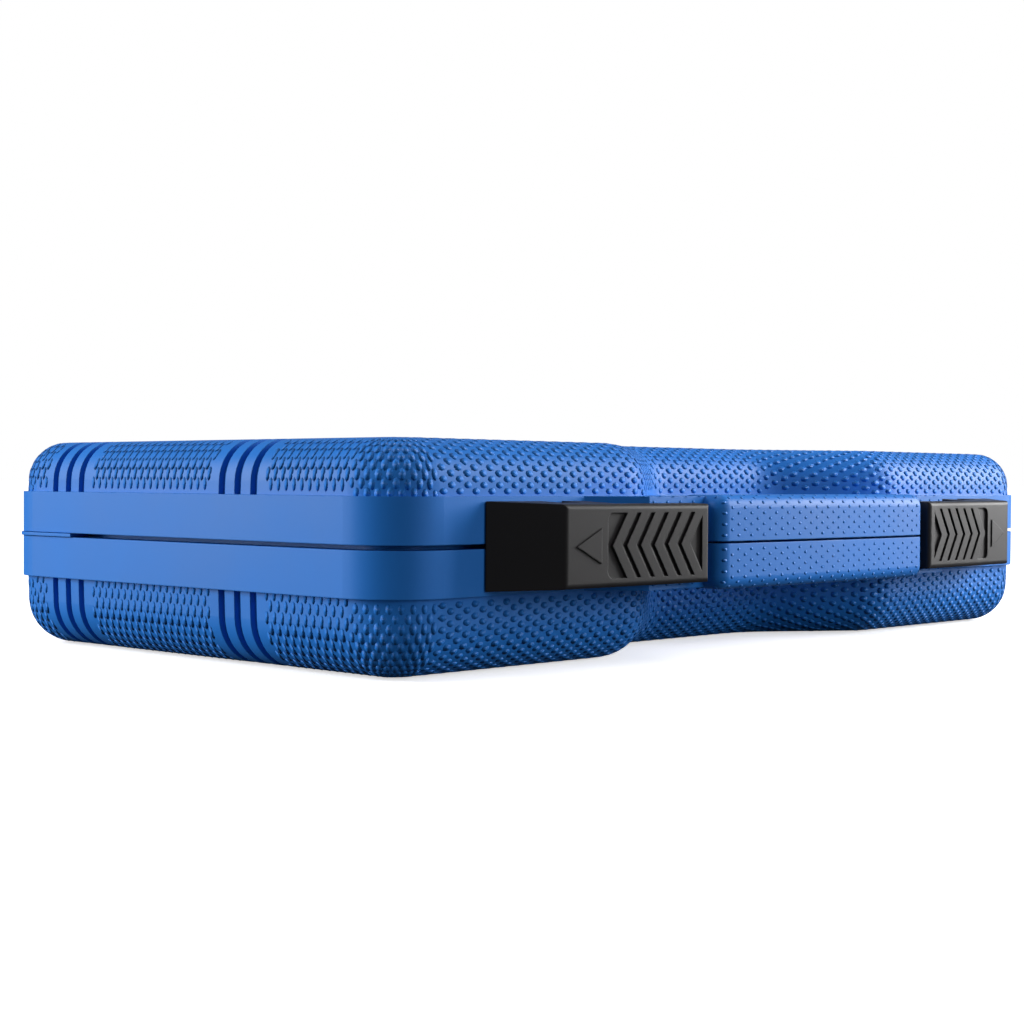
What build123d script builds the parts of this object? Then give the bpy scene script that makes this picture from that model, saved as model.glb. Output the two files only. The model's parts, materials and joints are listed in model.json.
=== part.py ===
from build123d import *

# Socket wrench set in a blow-moulded plastic carrying case, in millimetres.
# Everything is modelled in the case's own coordinates: x from the middle of the long side, y back from
# the front face of the rim band, z up from the parting plane. export() shifts each piece into the part
# frame, whose origin is under the middle of the closed case, on the surface that it stands on.
import math
import os

# ---------------------------------------------------------------- case: driving sizes
case_length = 400.0
body_depth = 218.0
base_height = 41.3
lid_height = 34.3
wall = 2.4
corner_radius = 22.0
base_edge_radius = 17.0
lid_edge_radius = 14.5
side_draft = 2.0

band_height = 15.8
band_proud = 1.2
parting_gap = 1.6
rim_thickness = 2.2
rim_width = 8.0
tongue_clearance = 1.0
tongue_thickness = 2.0
tongue_depth = 3.8

recess_depth = 30.0
recess_mouth_half = 78.0
recess_floor_half = 35.0
shoulder_radius = 30.0
recess_floor_radius = 25.0

groove_width = 3.3
groove_depth = 2.0
groove_pitch = 8.35
groove_group_y = (76.0, 175.0)
groove_reach = 62.0

# ---------------------------------------------------------------- handle and latches
handle_half_length = 67.0
handle_reach = 25.0
handle_bow = 1.4
handle_thickness = 22.0
handle_half_height = 16.4
handle_gap = 0.8
handle_round = 4.5
root_reach = 15.0
root_straight_x = 96.0
root_end_x = 112.0
finger_gap_half = 60.0

latch_inner_reach = 22.9
latch_outer_reach = 19.8
latch_inner_x = 72.8
latch_front_outer_x = 143.0
latch_back_outer_x = 160.0
latch_half_height = 14.3
latch_draft = 1.0
latch_round = 1.6
latch_wall = 2.2
latch_deep_x = 114.0
latch_root_clearance = 0.5
latch_back_clearance = 0.5
latch_travel = 14.0
stud_reach = 8.0
stud_low, stud_high = 4.0, 11.0
stud_spans = ((117.0, 125.0), (139.0, 147.0))
stud_notch_clearance = 1.0
rail_web, rail_lip = 8.0, 11.0
rail_lip_thickness = 2.5
rail_start_x, rail_end_x = 116.0, 149.0
hook_clearance = 0.4
hook_thickness = 2.6


panel_depth = 1.0
panel_outer_x, panel_inner_x = 124.0, 76.9
panel_half_height = 10.6
panel_corner = 2.5
rib_count = 6
rib_pitch = 6.8
rib_width = 4.7
rib_lean = 7.0
rib_first_x = 121.8
arrow_base_x, arrow_point_x = 127.3, 138.8
arrow_half_height = 5.7
arrow_height = 0.45

# ---------------------------------------------------------------- hinge
knuckle_radius = 4.0
hinge_gap = 0.4
pin_radius = 1.75
pin_clearance = 0.05
hinge_x = 120.0
knuckle_length = 15.0
knuckle_gap = 0.4
pin_head_radius = 2.8
pin_head_length = 1.2

# ---------------------------------------------------------------- trays
base_deck_depth = 22.0
tray_wall = 1.8
tray_upstand_inset = 6.9
pocket_margin = 0.4
pocket_clearance = 0.6
lid_clearance = 5.0

# ---------------------------------------------------------------- half-inch drive tools
drive_square = 12.7
drive_length = 15.0
drive_hole_clearance = 0.15
ball_radius = 2.1
ball_sink = 0.9
square_chamfer = 1.2
drive_end_diameter = 22.0
socket_chamfer = 0.9

socket_rows = (
    # sizes from left to right, y of the row, x of the row's middle, gap between the sockets
    ((32, 30), 38.0, -138.0, 5.0),
    ((27, 24), 36.0, 138.0, 7.0),
    ((12, 11, 10), 58.0, 0.0, 8.0),
    ((23, 22, 21, 20, 19, 18, 17, 16, 15, 14, 13), 88.0, 0.0, 6.0),
)

axis_bar_z = -16.0
long_bar_length, long_bar_x, long_bar_y = 250.0, -178.0, 190.0
short_bar_length, short_bar_x, short_bar_y = 125.0, -178.0, 121.0
bar_shaft_radius = 6.5
bar_collar_radius = 9.5
bar_socket_length = 30.0

plug_socket_21 = dict(size=20.8, radius=14.0, length=66.0, x=-38.0, y=123.0)
plug_socket_16 = dict(size=16.0, radius=11.5, length=64.0, x=44.0, y=123.0)
plug_axis_z = -14.0
plug_rubber_length = 14.0

ratchet_x, ratchet_y = -152.0, 157.0
ratchet_axis_z = -8.0
head_radius = 20.0
head_half_thickness = 10.5
gear_bore_radius = 14.6
gear_tip_radius = 14.2
gear_tooth_height = 1.0
gear_teeth = 36
gear_half_thickness = 4.5
pawl_radius = 7.2
pawl_clearance = 0.3
cover_radius = 16.0
cover_thickness = 1.8
spindle_radius = 9.0
spindle_proud = 0.6
hub_radius = 6.4
hub_clearance = 0.15
hub_proud = 0.4
screw_radius = 1.6
screw_circle = 12.6
neck_radius = 7.5
neck_end = 108.0
grip_radius = 14.0
grip_length = 118.0
grip_core_radius = 6.0
running_clearance = 0.06
button_radius = 4.5
button_height = 2.4
button_foot = 0.5
button_bore_floor = -2.0
spring_radius = 3.6
spring_wire = 1.0
button_travel = 1.5
lever_gap = 0.5
lever_thickness = 3.0
lever_length = 17.0
lever_nib_height = 1.2
lever_swing = 40.0

joint_x, joint_y, joint_z = 86.0, 166.0, -14.0
joint_radius = 12.5
joint_body_length = 24.0
fork_length = 13.0
fork_slot = 13.4
cross_size = 13.0
cross_pin_radius = 2.5
joint_swing = 25.0

# ---------------------------------------------------------------- worked-out places
pawl_x = gear_bore_radius + 3.0
hinge_y = body_depth + hinge_gap + knuckle_radius
back_y = hinge_y + knuckle_radius
pocket_floor_z = base_height - wall - groove_depth - tray_wall - pocket_margin
middle_y = (back_y - handle_reach) / 2
joint_free_length = joint_body_length + fork_length + drive_length
joint_spread = joint_free_length * math.sin(math.radians(joint_swing)) + drive_square / 2 + 3 * pocket_clearance
lever_top_z = ratchet_axis_z + head_half_thickness + lever_gap + lever_thickness + lever_nib_height
lid_deck_z = lever_top_z + lid_clearance
TO_FRAME = Location((0, -middle_y, base_height))

parts = {}


def add_part(name, shape):
    """Keeps a finished piece under its node name."""
    parts[name] = shape


def box(x0, x1, y0, y1, z0, z1):
    """An axis-aligned block between two corners."""
    corner = Location((min(x0, x1), min(y0, y1), min(z0, z1)))
    size = (abs(x1 - x0), abs(y1 - y0), abs(z1 - z0))
    return corner * Box(*size, align=(Align.MIN, Align.MIN, Align.MIN))


def prism(points, z0, z1):
    """A closed outline in plan, extruded from z0 to z1."""
    face = make_face(Polyline(*[(x, y) for x, y in points], close=True))
    return Location((0, 0, z0)) * extrude(face, amount=z1 - z0)


def disc(radius, x, y, z0, z1):
    """An upright cylinder."""
    return Location((x, y, z0)) * Cylinder(radius, z1 - z0, align=(Align.CENTER, Align.CENTER, Align.MIN))


def rod(radius, x0, x1, y, z):
    """A cylinder along x."""
    length = abs(x1 - x0)
    place = Location((min(x0, x1), y, z), (0, 90, 0))
    return place * Cylinder(radius, length, align=(Align.CENTER, Align.CENTER, Align.MIN))


def mirrored(shape):
    """The same piece on the other side of the case's middle."""
    return mirror(shape, about=Plane.YZ)


# ---------------------------------------------------------------- outer shells
def recess_outline(inset):
    """The hand recess in plan, grown by inset: slanted sides and a flat floor."""
    slant = math.atan2(recess_depth, recess_mouth_half - recess_floor_half)
    mouth = recess_mouth_half + inset / math.sin(slant)
    floor_y = recess_depth + inset
    floor_half = mouth - floor_y / math.tan(slant)
    outside = mouth + corner_radius / math.tan(slant)
    return make_face(Polyline((-outside, -corner_radius), (-floor_half, floor_y), (floor_half, floor_y),
                              (outside, -corner_radius), close=True))


def body_plan(inset):
    """The case's outline in plan, drawn in by inset: a rounded rectangle with the hand recess."""
    rectangle = RectangleRounded(case_length - 2 * inset, body_depth - 2 * inset, corner_radius - inset)
    outline = Location((0, body_depth / 2)) * rectangle
    outline -= recess_outline(inset)
    floor_corners = [v for v in outline.vertices() if abs(v.Y - inset - recess_depth) < 0.01]
    outline = fillet(floor_corners, recess_floor_radius + inset)
    shoulders = [v for v in outline.vertices()
                 if abs(v.Y - inset) < 0.01 and abs(v.X) < case_length / 2 - corner_radius - 1]
    return fillet(shoulders, shoulder_radius - inset)


def dome(inset, height, edge_radius):
    """A drafted pan over the body's outline, with a large round where its sides meet its top."""
    solid = extrude(body_plan(inset), amount=height, taper=side_draft)
    return fillet(solid.faces().sort_by(Axis.Z)[-1].edges(), edge_radius)


def groove_slabs(width, height, overlap):
    """Upright slabs where the ribbing grooves cross the two ends of the dome."""
    slabs = []
    for side in (-1, 1):
        outer = side * (case_length / 2 + 1)
        inner = side * (case_length / 2 - groove_reach + overlap)
        for group in groove_group_y:
            for step in (-1, 0, 1):
                y = group + step * groove_pitch
                slabs.append(box(inner, outer, y - width / 2, y + width / 2, band_height - overlap, height + 1))
    return slabs


def root_plan(inset):
    """The handle's two roots in plan, joined behind by the body."""
    points = [(handle_half_length - 1, -root_reach + inset), (root_straight_x, -root_reach + inset),
              (root_end_x, inset), (root_end_x, 6), (finger_gap_half + inset, 12),
              (finger_gap_half + inset, -root_reach + inset)]
    face = make_face(Polyline(*points, close=True))
    return face + mirror(face, about=Plane.YZ)


def handle_bar(inset):
    """One half of the grip bar, with its long edges and its ends rounded."""
    half = handle_half_length - inset
    low = handle_gap / 2 if inset == 0 else parting_gap / 2 + rim_thickness
    front, rear = -handle_reach + inset, -handle_reach + handle_thickness - inset
    bowed = ThreePointArc((-half, front + handle_bow), (0, front), (half, front + handle_bow))
    plan = make_face(bowed + Polyline((half, front + handle_bow), (half, rear), (-half, rear),
                                      (-half, front + handle_bow)))
    bar = Location((0, 0, low)) * extrude(plan, amount=handle_half_height - inset - low)
    upper = bar.faces().sort_by(Axis.Z)[-1].edges()
    uprights = bar.edges().filter_by(Axis.Z)
    return fillet(upper + uprights, handle_round - inset)


def half_shell(height, edge_radius):
    """One half of the case with its opening at the bottom: band, dome, handle half and inward rim."""
    low = parting_gap / 2
    rim_top = low + rim_thickness
    grooved = dome(band_proud, height, edge_radius)
    floor = dome(band_proud + groove_depth, height - groove_depth, edge_radius - groove_depth)
    for slab in groove_slabs(groove_width, height, 0):
        grooved -= slab - floor
    band = Location((0, 0, low)) * extrude(body_plan(0), amount=band_height - low)
    root = Location((0, 0, low)) * extrude(root_plan(0), amount=band_height - low)
    outer = grooved + band + root + handle_bar(0)

    inner_inset = band_proud + wall
    void = dome(inner_inset, height - wall, edge_radius - wall)
    backing = dome(inner_inset + groove_depth, height - wall - groove_depth, edge_radius - wall - groove_depth)
    for slab in groove_slabs(groove_width + 2 * wall, height, wall):
        void -= slab - backing
    tunnel = Location((0, 0, rim_top)) * extrude(root_plan(wall), amount=band_height - wall - rim_top)
    void += tunnel + handle_bar(wall)
    half = outer - (void & box(-case_length, case_length, -body_depth, 2 * body_depth, rim_top, height))
    half -= extrude(body_plan(rim_width), amount=rim_top + 0.01)
    return half - box(-case_length, case_length, 0.0, 2 * body_depth, -1, low)


def knuckle(x0, x1, side):
    """A hinge knuckle on the back of the band: side is 1 for the lid and -1 for the base."""
    barrel = rod(knuckle_radius, x0, x1, hinge_y, 0)
    foot = side * (knuckle_radius + 4)
    web = make_face(Polyline((body_depth - wall, side * parting_gap / 2), (hinge_y, side * parting_gap / 2),
                             (hinge_y, side * knuckle_radius), (body_depth, foot),
                             (body_depth - wall, foot), close=True))
    web = Plane.YZ * web
    web = Location((x0, 0, 0)) * extrude(web, amount=x1 - x0, dir=(1, 0, 0))
    return barrel + web - rod(pin_radius + pin_clearance, x0 - 1, x1 + 1, hinge_y, 0)


def knuckle_spans(middle):
    """Where the three knuckles of one hinge stand, the lid's between the base's two."""
    pitch = knuckle_length + knuckle_gap
    return [(middle + step * pitch - knuckle_length / 2, middle + step * pitch + knuckle_length / 2)
            for step in (-1, 0, 1)]


def latch_rail():
    """The base's half of the latch slide: a web on the band with a lip along its lower edge."""
    low = -parting_gap / 2
    web = box(rail_start_x, rail_end_x, -stud_reach, wall, -rail_web, low)
    lip = box(rail_start_x, rail_end_x, -stud_reach, -stud_reach + rail_lip_thickness, -rail_lip, low)
    return web + lip


def latch_studs():
    """The lid's two studs, which the latch's top wall holds down."""
    return [box(x0, x1, -stud_reach, wall, stud_low, stud_high) for x0, x1 in stud_spans]


def make_base_shell():
    shell = mirror(half_shell(base_height, base_edge_radius), about=Plane.XY)
    for side in (-1, 1):
        spans = knuckle_spans(side * hinge_x)
        shell += knuckle(*spans[0], -1) + knuckle(*spans[2], -1)
    rail = latch_rail()
    return shell + rail + mirrored(rail)


def make_lid_shell():
    shell = half_shell(lid_height, lid_edge_radius)
    start = rim_width + tongue_clearance
    ring = body_plan(start) - body_plan(start + tongue_thickness)
    tongue_height = tongue_depth + rim_thickness
    shell += Location((0, 0, parting_gap / 2 - tongue_depth)) * extrude(ring, amount=tongue_height)
    ledge = body_plan(rim_width - 1) - body_plan(start + tongue_thickness)
    shell += Location((0, 0, parting_gap / 2)) * extrude(ledge, amount=rim_thickness)
    for side in (-1, 1):
        shell += knuckle(*knuckle_spans(side * hinge_x)[1], 1)
    for stud in latch_studs():
        shell += stud + mirrored(stud)
    return shell


def make_hinge_pin(middle):
    spans = knuckle_spans(middle)
    start, end = spans[0][0], spans[2][1]
    shank = rod(pin_radius, start, end, hinge_y, 0)
    return shank + rod(pin_head_radius, start - pin_head_length, start, hinge_y, 0)


# ---------------------------------------------------------------- slide latches
def latch_front():
    """The plane of the right-hand latch's front face, whose inner end stands further out."""
    slope = math.atan2(latch_inner_reach - latch_outer_reach, latch_front_outer_x - latch_inner_x)
    return Plane(origin=(latch_inner_x, -latch_inner_reach, 0), x_dir=(math.cos(slope), math.sin(slope), 0),
                 z_dir=(math.sin(slope), -math.cos(slope), 0))


def latch_plan(inset, back):
    """The right-hand latch's outline in plan, drawn in by inset."""
    return [(latch_inner_x + inset, -latch_inner_reach + inset),
            (latch_front_outer_x - inset, -latch_outer_reach + inset),
            (latch_back_outer_x - inset, back), (latch_inner_x + inset, back)]


def latch_body():
    """The latch as a solid block with its drafted top and bottom and its rounded front edges."""
    half = latch_half_height
    block = prism(latch_plan(0, -latch_back_clearance), -half, half)
    face = Polyline((0, -half), (0, half), (-latch_inner_reach, half - latch_draft),
                    (-latch_inner_reach, -half + latch_draft), close=True)
    wedge = Location((latch_inner_x, 0, 0)) * extrude(Plane.YZ * make_face(face), amount=case_length)
    block &= wedge
    front = [f for f in block.faces() if abs(f.normal_at().Y) > 0.99 and f.center().Y < -latch_outer_reach / 2]
    return fillet(front[0].edges(), latch_round)


def latch_relief():
    """The grip panel sunk in the latch's front, with its chevron ribs left standing."""
    height = 2 * panel_half_height
    panel = Pos((panel_outer_x + panel_inner_x) / 2, 0) * Rectangle(panel_outer_x - panel_inner_x, height)
    outer_corners = [v for v in panel.vertices() if v.X > panel_inner_x + 1]
    panel = fillet(outer_corners, panel_corner)
    for n in range(rib_count):
        tip, end, top = rib_first_x - n * rib_pitch, rib_first_x - n * rib_pitch - rib_lean, panel_half_height
        panel -= make_face(Polyline((end, -top), (tip, 0), (end, top), (end - rib_width, top),
                                    (tip - rib_width, 0), (end - rib_width, -top), close=True))
    plane = latch_front()
    return extrude(plane * Pos(-latch_inner_x, 0) * panel, amount=-panel_depth)


def make_latch():
    """The right-hand latch: an open-backed cap with a slanted outer end, grip ribs and hooks."""
    half = latch_half_height
    body = latch_body()
    body -= prism(latch_plan(latch_wall, 1), -half + latch_wall, half - latch_wall)
    body -= box(latch_inner_x - 1, latch_deep_x, -root_reach - latch_root_clearance, 1, -half - 1, half + 1)

    # the top wall is open over the outer stud's place when the latch is slid out
    slot = stud_notch_clearance
    for x0, x1 in stud_spans:
        body -= box(x0 - latch_travel - slot, x1 - latch_travel + slot, -stud_reach - slot, 1, 0, half + 1)

    # the hook behind the base's rail lip
    hook_front = -stud_reach + rail_lip_thickness + hook_clearance
    body += box(rail_start_x + 1, rail_end_x - 2, hook_front, hook_front + hook_thickness,
                -half + 1, -rail_web - hook_clearance)
    arrow = make_face(Polyline((arrow_base_x, -arrow_half_height), (arrow_point_x, 0),
                               (arrow_base_x, arrow_half_height), close=True))
    plane = latch_front()
    arrow = extrude(plane * Pos(-latch_inner_x, 0) * arrow, amount=arrow_height)
    return body - latch_relief() + arrow


# ---------------------------------------------------------------- sockets
def socket_mouth_diameter(size):
    """Outside diameter of a socket's hexagon end, from its size across flats."""
    return 1.3 * size + 2.3


def socket_length(size):
    return 38.0 if size < 24 else 40.0 + (size - 24) * 0.5


def socket_places():
    """(size, x, y, radius) of every upright socket, spaced along its row by its own diameter."""
    places = []
    for sizes, y, middle, gap in socket_rows:
        widths = [max(drive_end_diameter, socket_mouth_diameter(s)) for s in sizes]
        x = middle - (sum(widths) + gap * (len(sizes) - 1)) / 2
        for size, width in zip(sizes, widths):
            places.append((size, x + width / 2, y, width / 2))
            x += width + gap
    return places


def hexagon(size, depth):
    return extrude(RegularPolygon(size / 2 / math.cos(math.pi / 6), 6), amount=depth)


def turned(profile):
    """A solid of revolution about the z axis from (radius, height) points."""
    face = Plane.XZ * make_face(Polyline(*profile, close=True))
    return revolve(face, Axis.Z)


def square_hole(depth):
    side = drive_square + 2 * drive_hole_clearance
    return Box(side, side, depth, align=(Align.CENTER, Align.CENTER, Align.MIN))


def make_socket(size):
    """A hexagon socket standing on its drive end."""
    mouth = socket_mouth_diameter(size) / 2
    drive = max(drive_end_diameter / 2, mouth * 0.86)
    length = socket_length(size)
    step = length * 0.5
    c = socket_chamfer
    lean = min(abs(drive - mouth), 3.0) + 0.8
    profile = [(0, 0), (drive - c, 0), (drive, c), (drive, step - 5.2), (drive - 0.5, step - 4.7),
               (drive - 0.5, step - 3.7), (drive, step - 3.2), (drive, step), (mouth, step + lean),
               (mouth, length - c), (mouth - c, length), (0, length)]
    body = turned(profile)
    grip = size / math.sqrt(3) + 0.6
    flare = turned([(0, length - 1.2), (grip - 1.2, length - 1.2), (grip, length), (0, length)])
    body -= Location((0, 0, step)) * hexagon(size + 0.2, length)
    body -= flare
    body -= square_hole(drive_length + 2)
    return body - Cylinder(5.2, 2 * length)


# ---------------------------------------------------------------- extension bars
def lying(shape, x, y, z):
    """Lays a piece that was made along +z down along +x, starting at x."""
    return Location((x, y, z), (0, 90, 0)) * shape


def male_square(start):
    """A drive square with chamfered edges, standing on height start, with a seat for its ball."""
    block = Location((0, 0, start)) * Box(drive_square, drive_square, drive_length,
                                          align=(Align.CENTER, Align.CENTER, Align.MIN))
    block = chamfer(block.faces().sort_by(Axis.Z)[-1].edges(), square_chamfer)
    return block - ball_at(start, ball_radius + running_clearance)


def ball_at(start, radius):
    """The spring ball in a drive square's side, showing less than half of itself."""
    return Location((-drive_square / 2 + ball_sink, 0, start + drive_length / 2)) * Sphere(radius)


def make_bar(length):
    """An extension bar along +z, with its square socket at the start and its drive square at the end."""
    shaft, collar, female = bar_shaft_radius, bar_collar_radius, drive_end_diameter / 2
    shoulder = length - drive_length
    body = turned([(0, 0), (female - 1, 0), (female, 1), (female, bar_socket_length - 8),
                   (shaft + 1.5, bar_socket_length), (shaft, bar_socket_length + 4), (shaft, shoulder - 14),
                   (collar, shoulder - 10), (collar, shoulder - 1), (collar - 1, shoulder), (0, shoulder)])
    body -= square_hole(drive_length + 2)
    return body + male_square(shoulder)


# ---------------------------------------------------------------- spark plug sockets
def make_plug_socket(size, radius, length):
    drive = drive_end_diameter / 2
    body = turned([(0, 0), (drive - 1, 0), (drive, 1), (drive, 20), (radius, 23), (radius, length - 1),
                   (radius - 1, length), (0, length)])
    body -= Location((0, 0, 20)) * hexagon(size + 0.2, length)
    body -= square_hole(drive_length + 2)
    return body - Cylinder(5.2, 2 * length)


def make_plug_rubber(size):
    """The rubber sleeve that holds a spark plug, seated at the bottom of the hexagon."""
    ring = Cylinder(size / 2 - 0.2, plug_rubber_length) - Cylinder(size / 2 - 3.0, plug_rubber_length)
    return Location((0, 0, 20.2 + plug_rubber_length / 2)) * ring


# ---------------------------------------------------------------- universal joint
def joint_pivot():
    return joint_body_length + fork_length


def fork(length):
    """A yoke along +z with its two ears at the top, bored for the cross pins along y."""
    radius = joint_radius
    top = length + fork_length + cross_size / 2
    body = turned([(0, 0), (radius - 1, 0), (radius, 1), (radius, top - 3), (radius - 3, top), (0, top)])
    body -= box(-radius - 1, radius + 1, -fork_slot / 2, fork_slot / 2, length, top + 1)
    across = Location((0, 0, length + fork_length), (90, 0, 0))
    bore = across * Cylinder(cross_pin_radius + running_clearance, 4 * radius)
    # the ears are narrow, with round ends, so that the other yoke can swing between them
    ear = cross_size / 2
    tips = across * Cylinder(ear, 4 * radius)
    stems = box(-ear, ear, -2 * radius, 2 * radius, length - 1, length + fork_length)
    collar = disc(radius + 1, 0, 0, -1, length)
    return (body & (tips + stems + collar)) - bore


def make_cross():
    """The centre block, with a pin each way: along y for the first yoke and along z for the second."""
    block = Box(cross_size - 0.4, cross_size - 0.4, cross_size - 0.4)
    block = chamfer(block.edges(), 1.5)
    pins = Location((0, 0, 0), (90, 0, 0)) * Cylinder(cross_pin_radius, 2 * joint_radius - 4)
    return block + pins


# ---------------------------------------------------------------- ratchet
def ratchet_at(shape):
    return Location((ratchet_x, ratchet_y, ratchet_axis_z)) * shape


def make_ratchet_body():
    """Head and shank in one forging, bored for the gear, with the shank along +x."""
    head = Cylinder(head_radius, 2 * head_half_thickness)
    head = fillet(head.edges(), 2.2)
    shank = lying(turned([(0, 0), (9.5, 0), (neck_radius + 1, 26), (neck_radius, 40), (neck_radius, neck_end),
                          (grip_core_radius, neck_end), (grip_core_radius, neck_end + grip_length - 12),
                          (0, neck_end + grip_length - 12)]), 0, 0, 0)
    body = head + shank
    body -= disc(gear_bore_radius, 0, 0, -gear_half_thickness - 0.2, head_half_thickness + 1)
    body -= disc(cover_radius + 0.1, 0, 0, head_half_thickness - cover_thickness, head_half_thickness + 1)
    body -= disc(spindle_radius + running_clearance, 0, 0, -head_half_thickness - 1, 0)
    body -= disc(pawl_radius + 0.8, pawl_x, 0, -gear_half_thickness - 0.2, gear_half_thickness + 0.4)
    return ratchet_at(body)


def make_gear():
    """The toothed drive gear with its spindle, the drive square below and the button's bore above."""
    teeth = []
    for n in range(gear_teeth):
        for share, radius in ((0.0, gear_tip_radius - gear_tooth_height), (0.38, gear_tip_radius),
                              (0.62, gear_tip_radius)):
            angle = 2 * math.pi * (n + share) / gear_teeth
            teeth.append((radius * math.cos(angle), radius * math.sin(angle)))
    gear = prism(teeth, -gear_half_thickness, gear_half_thickness)
    top = head_half_thickness - cover_thickness - 0.3
    spindle = disc(spindle_radius, 0, 0, -head_half_thickness - spindle_proud, top)
    hub = disc(hub_radius, 0, 0, top - 0.1, head_half_thickness + hub_proud)
    square = mirror(male_square(head_half_thickness + spindle_proud), about=Plane.XY)
    bore = disc(button_radius + running_clearance, 0, 0, button_bore_floor, head_half_thickness + 1)
    return ratchet_at(gear + spindle + hub + square - bore)


def make_cover():
    """The round plate that closes the head, with a hole for the hub and three screw seats."""
    z0 = head_half_thickness - cover_thickness
    plate = disc(cover_radius, 0, 0, z0, head_half_thickness)
    plate -= disc(hub_radius + hub_clearance, 0, 0, z0 - 1, head_half_thickness + 1)
    for x, y in cover_screw_places():
        plate -= disc(screw_radius, x, y, z0 - 1, head_half_thickness + 1)
    return ratchet_at(plate)


def cover_screw_places():
    turns = [math.radians(degrees) for degrees in (90, 180, 270)]
    return [(screw_circle * math.cos(turn), screw_circle * math.sin(turn)) for turn in turns]


def make_cover_screws():
    screws = []
    for x, y in cover_screw_places():
        z = head_half_thickness
        head = disc(screw_radius, x, y, z - cover_thickness, z + 0.4)
        screws.append(ratchet_at(head - Location((x, y, z + 0.5)) * Box(2.4, 0.5, 0.9)))
    return Compound(children=screws)


def make_lever():
    """The reversing lever: a ring round the hub with a thumb tab over the shank side."""
    z0 = head_half_thickness + lever_gap
    z1 = z0 + lever_thickness
    ring = disc(hub_radius + 3, 0, 0, z0, z1)
    tab = prism([(6, -4.5), (lever_length, -3.2), (lever_length, 3.2), (6, 4.5)], z0, z1)
    nib = disc(2.4, lever_length - 2.8, 0, z1 - 0.2, z1 + lever_nib_height)
    bore = disc(hub_radius + hub_clearance, 0, 0, z0 - 1, z1 + 1)
    turn = Rotation(0, 0, -lever_swing / 2)
    return ratchet_at(turn * (ring + tab - bore + nib))


def make_button():
    top = head_half_thickness + hub_proud + button_height
    button = disc(button_radius, 0, 0, button_foot, top)
    return ratchet_at(chamfer(button.faces().sort_by(Axis.Z)[-1].edges(), 0.6))


def make_button_spring():
    """The spring under the release button, kept as a plain sleeve of its outer size."""
    z0, z1 = button_bore_floor + 0.1, button_foot - button_travel
    sleeve = disc(spring_radius, 0, 0, z0, z1)
    return ratchet_at(sleeve - disc(spring_radius - spring_wire, 0, 0, z0 - 1, z1 + 1))


def make_pawl():
    """The rocking pawl in its pocket behind the gear, just clear of the teeth."""
    outer = disc(pawl_radius, pawl_x, 0, -gear_half_thickness, gear_half_thickness)
    reach = gear_half_thickness + 1
    return ratchet_at(outer - disc(gear_tip_radius + pawl_clearance, 0, 0, -reach, reach))


def make_grip():
    """The moulded grip, barrel shaped with a waist and a round end."""
    g, n = grip_radius, grip_length
    front, waist, swell = (neck_radius + 1.0, 0), (g - 2.4, 30), (g, 82)
    outline = (ThreePointArc(front, (g - 2.9, 12), waist) + ThreePointArc(waist, (g - 0.9, 56), swell)
               + ThreePointArc(swell, (g - 2.2, n - 14), (g - 7.0, n)))
    face = make_face(outline + Polyline((g - 7.0, n), (0, n), (0, 0), front))
    grip = revolve(Plane.XZ * face, Axis.Z)
    grip -= disc(grip_core_radius, 0, 0, -1, n - 12)
    return ratchet_at(lying(grip, neck_end, 0, 0))


# ---------------------------------------------------------------- trays
def trough(x0, x1, y, z, radius, grow):
    """A pocket for a round piece lying along x: half-round below its axis and open above."""
    r = radius + pocket_clearance + grow
    ends = pocket_clearance + grow
    return rod(r, x0 - ends, x1 + ends, y, z) + box(x0 - ends, x1 + ends, y - r, y + r, z, 0)


def base_pockets(grow):
    """The hollows for all the tools, each grown by the tray's wall to make its outside."""
    c = pocket_clearance
    pockets = [disc(radius + c + grow, x, y, -pocket_floor_z - grow, 0) for _, x, y, radius in socket_places()]
    female, collar = drive_end_diameter / 2, bar_collar_radius
    long_bar = (long_bar_length, long_bar_x, long_bar_y)
    short_bar = (short_bar_length, short_bar_x, short_bar_y)
    for length, x, y in (long_bar, short_bar):
        end = x + length
        pockets.append(trough(end - bar_socket_length - 1, end, y, axis_bar_z, female, grow)
                       + trough(x, end - bar_socket_length, y, axis_bar_z, collar, grow)
                       + disc(15 + grow, x + length * 0.5, y - 3, axis_bar_z - 10 - grow, 0))
    for plug in (plug_socket_21, plug_socket_16):
        end = plug["x"] + plug["length"]
        pockets.append(trough(plug["x"], end, plug["y"], plug_axis_z, plug["radius"], grow))
    head_floor_z = ratchet_axis_z - head_half_thickness - c - grow
    head = disc(head_radius + c + grow, ratchet_x, ratchet_y, head_floor_z, 0)
    well = disc(12 + grow, ratchet_x, ratchet_y, -pocket_floor_z - grow, 0)
    shank = trough(ratchet_x, ratchet_x + neck_end, ratchet_y, ratchet_axis_z, 9.5, grow)
    grip = trough(ratchet_x + neck_end, ratchet_x + neck_end + grip_length, ratchet_y, ratchet_axis_z,
                  grip_radius, grow)
    pockets.append(head + well + shank + grip)
    pockets.append(joint_pit(grow))
    return pockets


def joint_pit(grow):
    """The universal joint's hollow: a close seat for one half and a fan for the other to swing in."""
    pivot_x = joint_x + joint_pivot()
    seat = trough(joint_x, pivot_x, joint_y, joint_z, joint_radius, grow)
    start = pivot_x - 14 - grow
    end = pivot_x + joint_free_length + 1.5 + grow
    narrow, wide = joint_radius + 2.5 + grow, joint_spread + grow
    near = pivot_x + 8
    points = [(start, -narrow), (near, -wide), (end, -wide), (end, wide), (near, wide), (start, narrow)]
    fan = prism([(x, joint_y + y) for x, y in points], -pocket_floor_z - grow, 0)
    return seat + fan


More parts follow.
